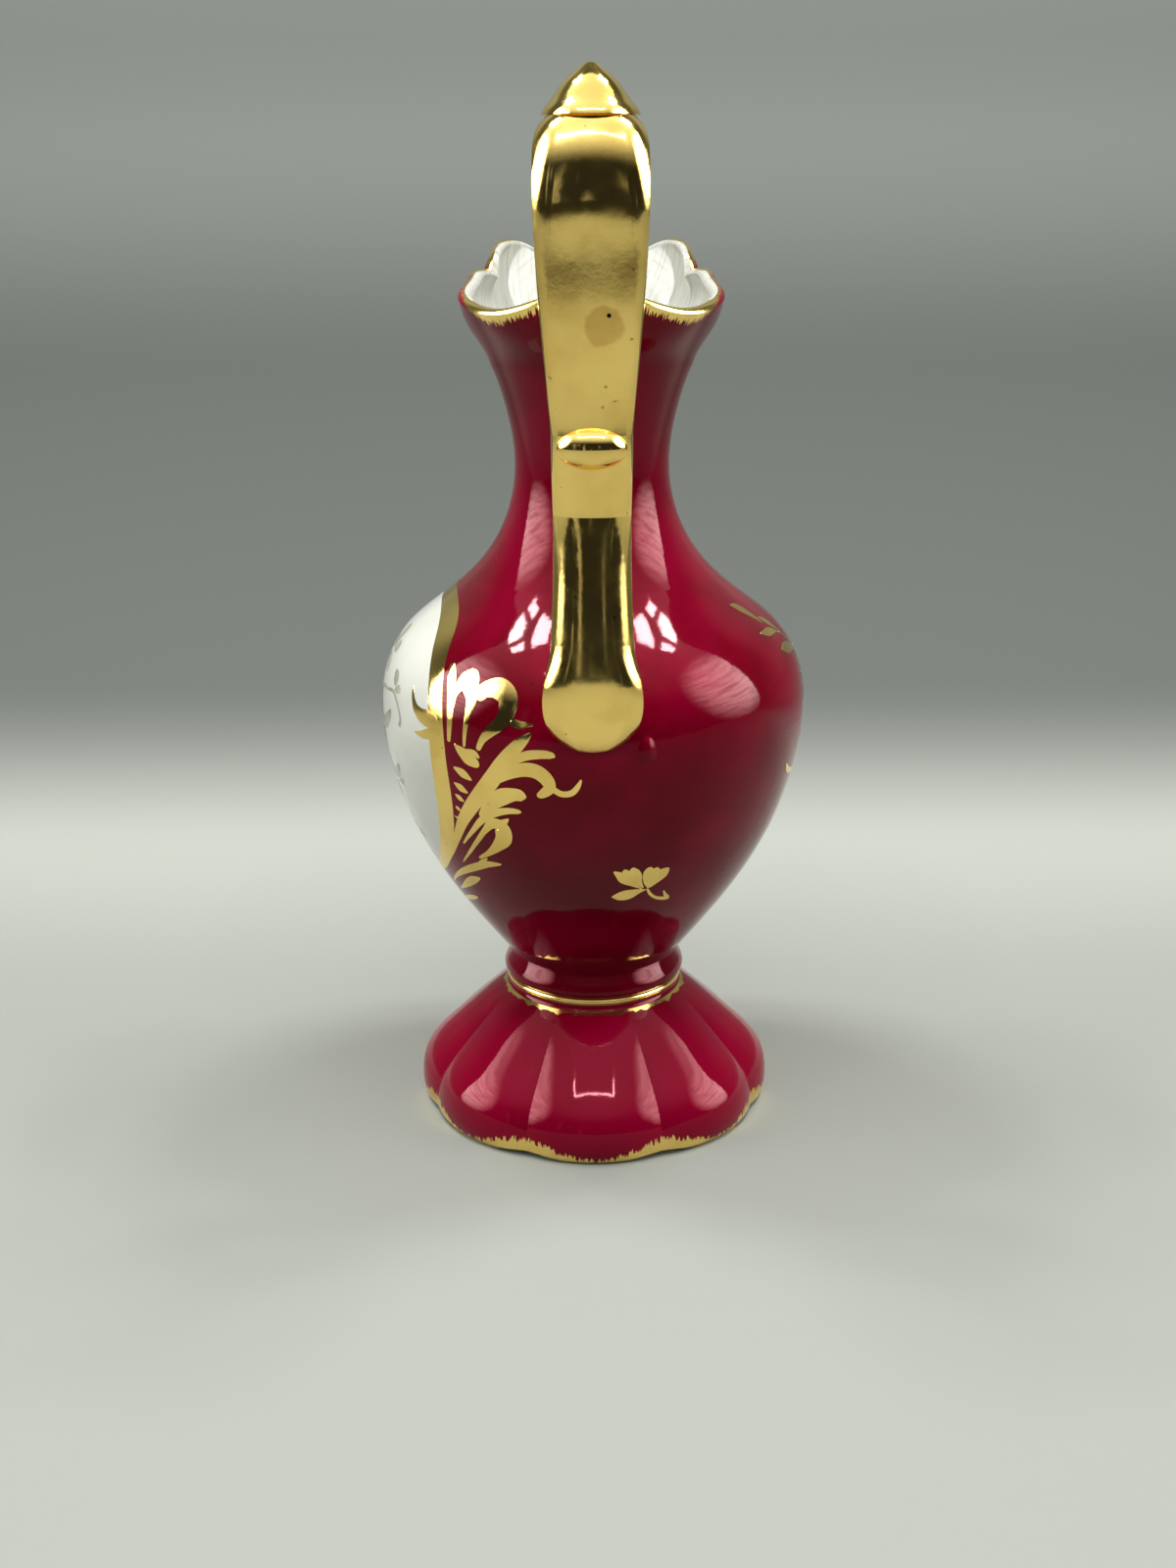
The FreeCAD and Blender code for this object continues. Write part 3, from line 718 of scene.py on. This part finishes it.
def frame_band(ornament, steps=480, across=13):
    """The gilt band round the reserve between its outer and its inner oval, as a closed grid."""
    turn = np.linspace(0, 2 * math.pi, steps + 1)[:, None]
    side = np.linspace(0, 1, across)[None, :]
    outer = (ornament.frame_outer, ornament.frame_outer_top, ornament.frame_outer_height)
    inner = (ornament.frame_inner, ornament.frame_inner_top, ornament.frame_inner_height)
    both = (ornament.frame_bottom, ornament.oval_power, turn)
    outer_y, outer_z = oval(*outer, *both)
    inner_y, inner_z = oval(*inner, *both)
    y = outer_y + (inner_y - outer_y) * side
    z = outer_z + (inner_z - outer_z) * side
    radius = np.interp(z, wall_heights, wall_radii)
    angle = -np.degrees(np.arccos(np.clip(-y / radius, -1, 1)))
    under_strokes = 0.02
    lift = (under_strokes + ornament.gold_rise * (1 - (2 * side - 1) ** 4)) * MM * np.ones_like(turn)
    return on_body(angle, z, lift)


def glaze_drop(angle, height, half_width, half_height, rise, rings=16, spokes=48):
    """A drop of glaze that ran and set: an oval dome drawn out downward, as a grid of rings.

    Its lift is the rise times one less the squared share of the way out, to the power 1.5, less
    what its edge sinks into the wall.
    """
    pull_down, sunk = 0.25, 0.02
    out = np.linspace(0, 1, rings)[:, None]
    turn = np.linspace(0, 2 * math.pi, spokes + 1)[None, :]
    pull = 1 + pull_down * np.sin(turn)
    z = (height + half_height * out * np.sin(turn)) * MM
    radius = np.interp(z, wall_heights, wall_radii)
    grid_angle = angle + np.degrees(half_width * MM * out * np.cos(turn) / pull / radius)
    lift = rise * np.maximum(1 - out**2, 0) ** 1.5 - sunk
    return on_body(grid_angle, z, lift * MM * np.ones_like(turn))


# Settings


class EwerFinish(bpy.types.PropertyGroup):
    """Colours and surfaces of glaze, gold and paint"""

    crimson: bpy.props.FloatVectorProperty(
        name="Crimson", description="Deep colour of the enamel",
        subtype="COLOR", default=(0.126, 0.0003, 0.0068),
    )
    # Also the foot's painted light: the crimson there is lighter in place of light from above.
    crimson_light: bpy.props.FloatVectorProperty(
        name="Thin crimson", description="Where the enamel lies thinner",
        subtype="COLOR", default=(0.21, 0.0006, 0.018),
    )
    white: bpy.props.FloatVectorProperty(
        name="White", description="White glaze", subtype="COLOR", default=(0.71, 0.72, 0.655)
    )
    gold: bpy.props.FloatVectorProperty(
        name="Gold", description="Fresh gilding", subtype="COLOR", default=(0.97, 0.70, 0.21)
    )
    gold_worn: bpy.props.FloatVectorProperty(
        name="Thin gold", description="Gilding where it lies thin",
        subtype="COLOR", default=(0.86, 0.59, 0.16),
    )
    stain: bpy.props.FloatVectorProperty(
        name="Stain", description="Tan stain on the strap", subtype="COLOR", default=(0.60, 0.33, 0.06)
    )
    paint: bpy.props.FloatVectorProperty(
        name="Paint", description="Grey green of the painted flowers",
        subtype="COLOR", default=(0.30, 0.30, 0.23),
    )
    glaze_roughness: bpy.props.FloatProperty(
        name="Glaze roughness", description="Roughness of the glaze", min=0.0, max=1.0, default=0.05
    )
    gold_roughness: bpy.props.FloatProperty(
        name="Gold roughness", description="Roughness of the gilding", min=0.0, max=1.0, default=0.13
    )
    glaze_wobble: bpy.props.FloatProperty(
        name="Glaze waves", description="Height of the glaze's waves in millimetres", min=0.0, default=0.05
    )
    gold_wobble: bpy.props.FloatProperty(
        name="Gold waves", description="Height of the gilding's waves in millimetres", min=0.0, default=0.07
    )


class EwerOrnament(bpy.types.PropertyGroup):
    """Sizes of the reserve and of the gilding"""

    frame_outer: bpy.props.FloatProperty(
        name="Frame outside", description="Half width of the gilt frame's outer oval",
        unit="LENGTH", default=40.0 * MM,
    )
    frame_outer_top: bpy.props.FloatProperty(
        name="Outer top", description="Outer oval above its centre", unit="LENGTH", default=32.0 * MM
    )
    frame_outer_height: bpy.props.FloatProperty(
        name="Outer centre", description="Height of the outer oval's centre",
        unit="LENGTH", default=105.0 * MM,
    )
    frame_inner: bpy.props.FloatProperty(
        name="Frame inside", description="Half width of the gilt frame's inner oval",
        unit="LENGTH", default=36.4 * MM,
    )
    frame_inner_top: bpy.props.FloatProperty(
        name="Inner top", description="Inner oval above its centre", unit="LENGTH", default=27.5 * MM
    )
    frame_inner_height: bpy.props.FloatProperty(
        name="Inner centre", description="Height of the inner oval's centre",
        unit="LENGTH", default=106.5 * MM,
    )
    frame_bottom: bpy.props.FloatProperty(
        name="Frame bottom", description="Both ovals below their centres", unit="LENGTH", default=40.0 * MM
    )
    oval_power: bpy.props.FloatProperty(
        name="Oval power", description="2 is an ellipse and more is fuller", min=1.5, max=4.0, default=2.2
    )
    rim_band: bpy.props.FloatProperty(
        name="Rim band", description="Depth of the gilding outside the rim", unit="LENGTH", default=2.2 * MM
    )
    rim_line: bpy.props.FloatProperty(
        name="Rim line", description="Depth of the gilding inside the rim", unit="LENGTH", default=0.9 * MM
    )
    hem_band: bpy.props.FloatProperty(
        name="Hem band", description="Height of the foot's gilding in a valley",
        unit="LENGTH", default=3.6 * MM,
    )
    hem_line: bpy.props.FloatProperty(
        name="Hem line", description="Height of the foot's gilding on a lobe", unit="LENGTH", default=1.3 * MM
    )
    top_line: bpy.props.FloatProperty(
        name="Top line", description="Gilding on the top of the foot", unit="LENGTH", default=0.6 * MM
    )
    brush_raggedness: bpy.props.FloatProperty(
        name="Ragged ends", description="How far brush ends differ", unit="LENGTH", default=1.7 * MM
    )
    gold_rise: bpy.props.FloatProperty(
        name="Gold thickness", description="Height of a gold stroke in millimetres", min=0.0, default=0.02
    )


class EwerStudio(bpy.types.PropertyGroup):
    """Table, backdrop, lamps and camera"""

    floor: bpy.props.FloatVectorProperty(
        name="Floor", description="Colour of the table", subtype="COLOR", default=(0.30, 0.312, 0.287)
    )
    wall: bpy.props.FloatVectorProperty(
        name="Wall", description="Colour of the backdrop", subtype="COLOR", default=(0.125, 0.134, 0.125)
    )
    ceiling: bpy.props.FloatProperty(
        name="Ceiling", description="Brightness of the ceiling", min=0.0, default=1.25
    )
    window: bpy.props.FloatProperty(
        name="Windows", description="Brightness of the side windows", min=0.0, default=3.4
    )
    window_shine: bpy.props.FloatProperty(
        name="Window shine", description="Extra radiance of the windows in reflections", min=0.0, default=2.8
    )
    pane_radiance: bpy.props.FloatProperty(
        name="Panes", description="Brightness of the panes overhead", min=0.0, default=66.0
    )
    camera_distance: bpy.props.FloatProperty(
        name="Camera distance", description="From the jug's axis, level", unit="LENGTH", default=0.4412
    )
    camera_height: bpy.props.FloatProperty(
        name="Camera height", description="Above the table", unit="LENGTH", default=0.2289
    )
    camera_pitch: bpy.props.FloatProperty(
        name="Camera pitch", description="Downward tilt", subtype="ANGLE", default=math.radians(18.136)
    )
    camera_lens: bpy.props.FloatProperty(name="Lens", description="Focal length in millimetres", default=41.6)


# Operators


class EWER_OT_porcelain(bpy.types.Operator):
    """Glaze the foot, stem, body, neck and lip"""

    bl_idname = "ewer.porcelain"
    bl_label = "Glaze the porcelain"

    def execute(self, context):
        finish, ornament = context.scene.ewer_finish, context.scene.ewer_ornament
        plain = porcelain("crimson_glaze", finish, white=inner_white)
        reserved = porcelain("crimson_glaze_with_reserve", finish, white=reserve_white(ornament))
        rim = lip_gold(ornament)
        lip = porcelain("crimson_glaze_gilt_rim", finish, white=inner_white, gold=rim, streaks=0.6)
        ring = porcelain("crimson_glaze_gilt_bead", finish, gold=bead_gold)
        foot = porcelain("crimson_glaze_gilt_hem", finish, white=foot_white, gold=foot_gold(ornament))
        for name, material in (
            ("stem_collar", plain),
            ("neck", plain),
            ("belly", reserved),
            ("shoulder", reserved),
            ("lip", lip),
            ("stem_ring", ring),
            ("foot", foot),
        ):
            set_material(name, material)
        return {"FINISHED"}


class EWER_OT_gilding(bpy.types.Operator):
    """Gild the handle"""

    bl_idname = "ewer.gilding"
    bl_label = "Gild the handle"

    def execute(self, context):
        finish = context.scene.ewer_finish
        plain = gilding("burnished_gold", finish)
        stained = gilding("burnished_gold_stained", finish, strap_marks)
        for name in HANDLE_NODES:
            set_material(name, stained if name == "handle_upper_strap" else plain)
        return {"FINISHED"}


class EWER_OT_ornament(bpy.types.Operator):
    """Paint the gold frame, scrolls and sprigs"""

    bl_idname = "ewer.ornament"
    bl_label = "Paint the gold ornament"

    def execute(self, context):
        finish, ornament = context.scene.ewer_finish, context.scene.ewer_ornament
        gold = gilding("painted_gold", finish)
        rise = ornament.gold_rise
        mesh_piece("reserve_frame", [frame_band(ornament)], gold)
        groups = (
            ("frame_thorns", THORNS, RESERVE_SIDE),
            ("palmette", PALMETTE, RESERVE_SIDE),
            ("lozenges", LOZENGES, RESERVE_SIDE),
            ("acanthus", FRONDS, RESERVE_SIDE),
            ("trefoil", TREFOIL, PLAIN_SIDE),
            ("side_spray", SPRAY, PLAIN_SIDE),
        )
        for name, paths, about in groups:
            painted(name + "_handle_side", paths, rise, gold)
            painted(name + "_spout_side", mirrored(paths, about), rise, gold)
        paths = (SPRAY_STEM,) + sum((blossom_paths(*place) for place in GOLD_BLOSSOMS), ())
        painted("side_flower", paths, rise, gold)
        return {"FINISHED"}


class EWER_OT_painting(bpy.types.Operator):
    """Paint grey green flowers in the white reserve"""

    bl_idname = "ewer.painting"
    bl_label = "Paint the flowers"

    def execute(self, context):
        finish = context.scene.ewer_finish
        paint = flower_paint("flower_paint", finish)
        blossoms = sum((blossom_paths(*place) for place in BLOSSOMS), ())
        painted("posy_handle_side", POSY, PAINT_RISE, paint)
        painted("posy_spout_side", mirrored(POSY, RESERVE_SIDE), PAINT_RISE, paint)
        painted("posy_blossoms", blossoms, PAINT_RISE, paint)
        return {"FINISHED"}


class EWER_OT_drop(bpy.types.Operator):
    """Leave a drop of glaze on the shoulder"""

    bl_idname = "ewer.drop"
    bl_label = "Add the glaze drop"

    def execute(self, context):
        drop = glaze_drop(angle=13.4, height=109.2, half_width=2.3, half_height=3.6, rise=0.9)
        material = porcelain("crimson_drop", context.scene.ewer_finish)
        mesh_piece("glaze_drop", [drop], material)
        return {"FINISHED"}


class EWER_OT_studio(bpy.types.Operator):
    """Set the table, the backdrop, the lamps and the camera"""

    bl_idname = "ewer.studio"
    bl_label = "Set up the studio"

    def execute(self, context):
        studio = context.scene.ewer_studio
        add_sweep(studio)
        add_world(context.scene, studio)
        add_lamps(context.scene, studio)
        add_camera(context.scene, studio)
        context.scene.view_settings.view_transform = "Standard"
        return {"FINISHED"}


def set_material(name, material):
    """Gives a node its material."""
    mesh = nodes[name].data
    mesh.materials.clear()
    mesh.materials.append(material)


def flower_paint(name, settings):
    """Thin grey green paint under the glaze, paler where the brush was dry."""
    material, wire = start_material(name)
    place = wire.node("ShaderNodeTexCoord", output="Object")
    tone = wire.noise(place, 180.0, 3.0).step(0.3, 0.75)
    colour = wire.blend(tone, rgba(settings.paint), rgba([c * 1.9 for c in settings.paint]))
    inputs = {"Base Color": colour, "Roughness": settings.glaze_roughness, "IOR": 1.5}
    finish_material(wire, wire.node("ShaderNodeBsdfPrincipled", {}, inputs))
    return material


# Studio


def add_sweep(studio):
    """A table that curves up into a wall behind the jug.

    The profile runs level, turns through a quarter circle and goes straight up, and is carried
    along X. It shows only from its front, so that it hides nothing from other sides.
    """
    start, bend, radius, top, half_width = -2.4, 0.22, 0.30, 2.2, 3.0
    level_rows, bend_rows = 11, 24
    turn = np.linspace(0, math.pi / 2, bend_rows)
    level = np.linspace(start, bend, level_rows, endpoint=False)
    y = np.concatenate([level, bend + radius * np.sin(turn), [bend + radius]])
    z = np.concatenate([np.zeros(level_rows), radius * (1 - np.cos(turn)), [top]])
    profile = np.stack([y, z], -1)
    grid = np.stack([np.insert(profile, 0, x, axis=1) for x in (-half_width, half_width)], 1)
    mesh = bpy.data.meshes.new("sweep")
    mesh.from_pydata(grid.reshape(-1, 3), [], grid_faces(*grid.shape[:2], 0))
    mesh.polygons.foreach_set("use_smooth", np.ones(len(mesh.polygons), bool))
    sweep = bpy.data.objects.new("sweep", mesh)
    bpy.context.scene.collection.objects.link(sweep)
    mesh.materials.append(sweep_material(studio))
    sweep.visible_shadow = False


def sweep_material(studio):
    """Pale table that goes over to the grey wall with distance and height, clear from behind.

    In reflections its front edge is in shade, and it sends less light back up than it shows.
    Its wall is lighter higher up and its table lighter behind the jug, as painted light.
    """
    material, wire = start_material("pale_sweep")
    _, y, z = wire.node("ShaderNodeTexCoord", output="Object").parts()
    far = (y + z * 0.5).step(0.19, 0.35)
    # Painted light: the wall is darker low down and lighter higher up.
    high = z.step(0.14, 0.27)
    wall = wire.blend(high, rgba(studio.wall), rgba([c * 2.05 for c in studio.wall]))
    # Painted light: the table is lighter behind the jug than in front of it.
    lit = y.step(0.06, 0.19)
    floor = wire.blend(lit, rgba(studio.floor), rgba([c * 1.22 for c in studio.floor]))
    colour = wire.blend(far, floor, wall)
    mirrored = wire.node("ShaderNodeLightPath", output="Is Glossy Ray")
    bounced = wire.node("ShaderNodeLightPath", output="Is Diffuse Ray")
    shade = mirrored * (y * -1.0).step(0.85, 1.15) + bounced * 0.4
    colour = wire.blend(shade.clamped(), colour, rgba(DEEP_SHADE))
    inputs = {"Base Color": colour, "Roughness": 0.9, "Specular IOR Level": 0.0}
    matt = wire.node("ShaderNodeBsdfPrincipled", {}, inputs)
    clear = wire.node("ShaderNodeBsdfTransparent")
    behind = wire.node("ShaderNodeNewGeometry", output="Backfacing")
    finish_material(wire, laid_over(wire, behind, matt, clear))
    return material


def add_world(scene, studio):
    """A pale ceiling, a window at each side, a grey wall behind and a dim room in front, by direction.

    The camera sees plain grey instead.
    """
    world = bpy.data.worlds.new("studio")
    scene.world = world
    world.use_nodes = True
    world.node_tree.nodes.clear()
    wire = Wire(world.node_tree)
    x, y, z = wire.node("ShaderNodeTexCoord", output="Generated").parts()
    ceiling = z.step(0.4, 0.9) * studio.ceiling
    side = wire.math("ABSOLUTE", x)
    shine = wire.noise(wire.join(y * 2.0, z * 14.0, 0.0), 1.6, 2.0).step(0.3, 0.62) * 0.55 + 0.6
    mirrored = wire.node("ShaderNodeLightPath", output="Is Glossy Ray") * studio.window_shine + 1.0
    window = (side * 0.9 - y * 0.05 + z * 0.42).step(0.86, 0.985) * shine * studio.window * mirrored
    back = y.step(-0.25, 0.35) * 0.3
    across = x / wire.math("MAXIMUM", y * -1.0, 0.05)
    drapes = wire.noise(wire.join(across * 2.6, 1.7, z * 0.5), 2.2, 2.0, 0.6).step(0.56, 0.68)
    room = y.step(-0.5, -0.8) * (1.0 - z.step(0.25, 0.5)) * drapes * 0.45 + 0.025
    grey = ceiling + window + back + room
    light = wire.node("ShaderNodeCombineColor", {}, {0: grey, 1: grey, 2: grey * 0.96})
    seen = wire.node("ShaderNodeLightPath", output="Is Camera Ray")
    shown = wire.blend(seen, light, rgba(studio.wall))
    background = wire.node("ShaderNodeBackground", {}, {"Color": shown, "Strength": 1.0})
    output = world.node_tree.nodes.new("ShaderNodeOutputWorld")
    world.node_tree.links.new(background.socket, output.inputs["Surface"])


def add_lamps(scene, studio):
    """Bright panes overhead: four small ones at each side and three thin ones like a U in front."""
    overhead = 0.95
    panes = [(x, y, 0.085, 0.07) for x in (-0.40, -0.27, 0.27, 0.40) for y in (0.06, 0.17)]
    panes += [(0.0, -0.47, 0.66, 0.02), (-0.32, -0.42, 0.024, 0.09), (0.32, -0.42, 0.024, 0.09)]
    for number, (x, y, width, depth) in enumerate(panes):
        lamp = bpy.data.lights.new(f"pane_{number}", "AREA")
        lamp.shape = "RECTANGLE"
        lamp.size, lamp.size_y = width, depth
        lamp.energy = studio.pane_radiance * math.pi * width * depth
        piece = bpy.data.objects.new(f"pane_{number}", lamp)
        piece.location = (x, y, overhead)
        piece.visible_camera = False
        scene.collection.objects.link(piece)


def add_camera(scene, studio):
    """The photograph's view: from a little above the rim, looking down at the jug."""
    camera = bpy.data.cameras.new("camera")
    camera.lens = studio.camera_lens
    camera.clip_start = 0.01
    piece = bpy.data.objects.new("camera", camera)
    turn = Matrix.Rotation(CAMERA_YAW, 4, "Z") @ Matrix.Rotation(math.pi / 2 - studio.camera_pitch, 4, "X")
    piece.matrix_world = (
        Matrix.Translation((0, -studio.camera_distance, studio.camera_height))
        @ turn
        @ Matrix.Rotation(CAMERA_ROLL, 4, "Z")
    )
    scene.collection.objects.link(piece)
    scene.camera = piece


# Add-on


class VIEW3D_PT_ewer(bpy.types.Panel):
    """Settings and steps of the ewer"""

    bl_label = "Ewer"
    bl_space_type = "VIEW_3D"
    bl_region_type = "UI"
    bl_category = "Ewer"

    def draw(self, context):
        for group in (context.scene.ewer_finish, context.scene.ewer_ornament, context.scene.ewer_studio):
            box = self.layout.box()
            for name in group.__annotations__:
                box.prop(group, name)
        for operator in OPERATORS:
            self.layout.operator(operator.bl_idname)


OPERATORS = (
    EWER_OT_porcelain,
    EWER_OT_gilding,
    EWER_OT_ornament,
    EWER_OT_painting,
    EWER_OT_drop,
    EWER_OT_studio,
)
CLASSES = (EwerFinish, EwerOrnament, EwerStudio, *OPERATORS, VIEW3D_PT_ewer)


def register():
    for each in CLASSES:
        bpy.utils.register_class(each)
    bpy.types.Scene.ewer_finish = bpy.props.PointerProperty(type=EwerFinish)
    bpy.types.Scene.ewer_ornament = bpy.props.PointerProperty(type=EwerOrnament)
    bpy.types.Scene.ewer_studio = bpy.props.PointerProperty(type=EwerStudio)


def unregister():
    for name in ("ewer_finish", "ewer_ornament", "ewer_studio"):
        delattr(bpy.types.Scene, name)
    for each in reversed(CLASSES):
        bpy.utils.unregister_class(each)


def main():
    register()
    bpy.ops.ewer.porcelain()
    bpy.ops.ewer.gilding()
    bpy.ops.ewer.ornament()
    bpy.ops.ewer.painting()
    bpy.ops.ewer.drop()
    bpy.ops.ewer.studio()


if __name__ == "__main__":
    main()
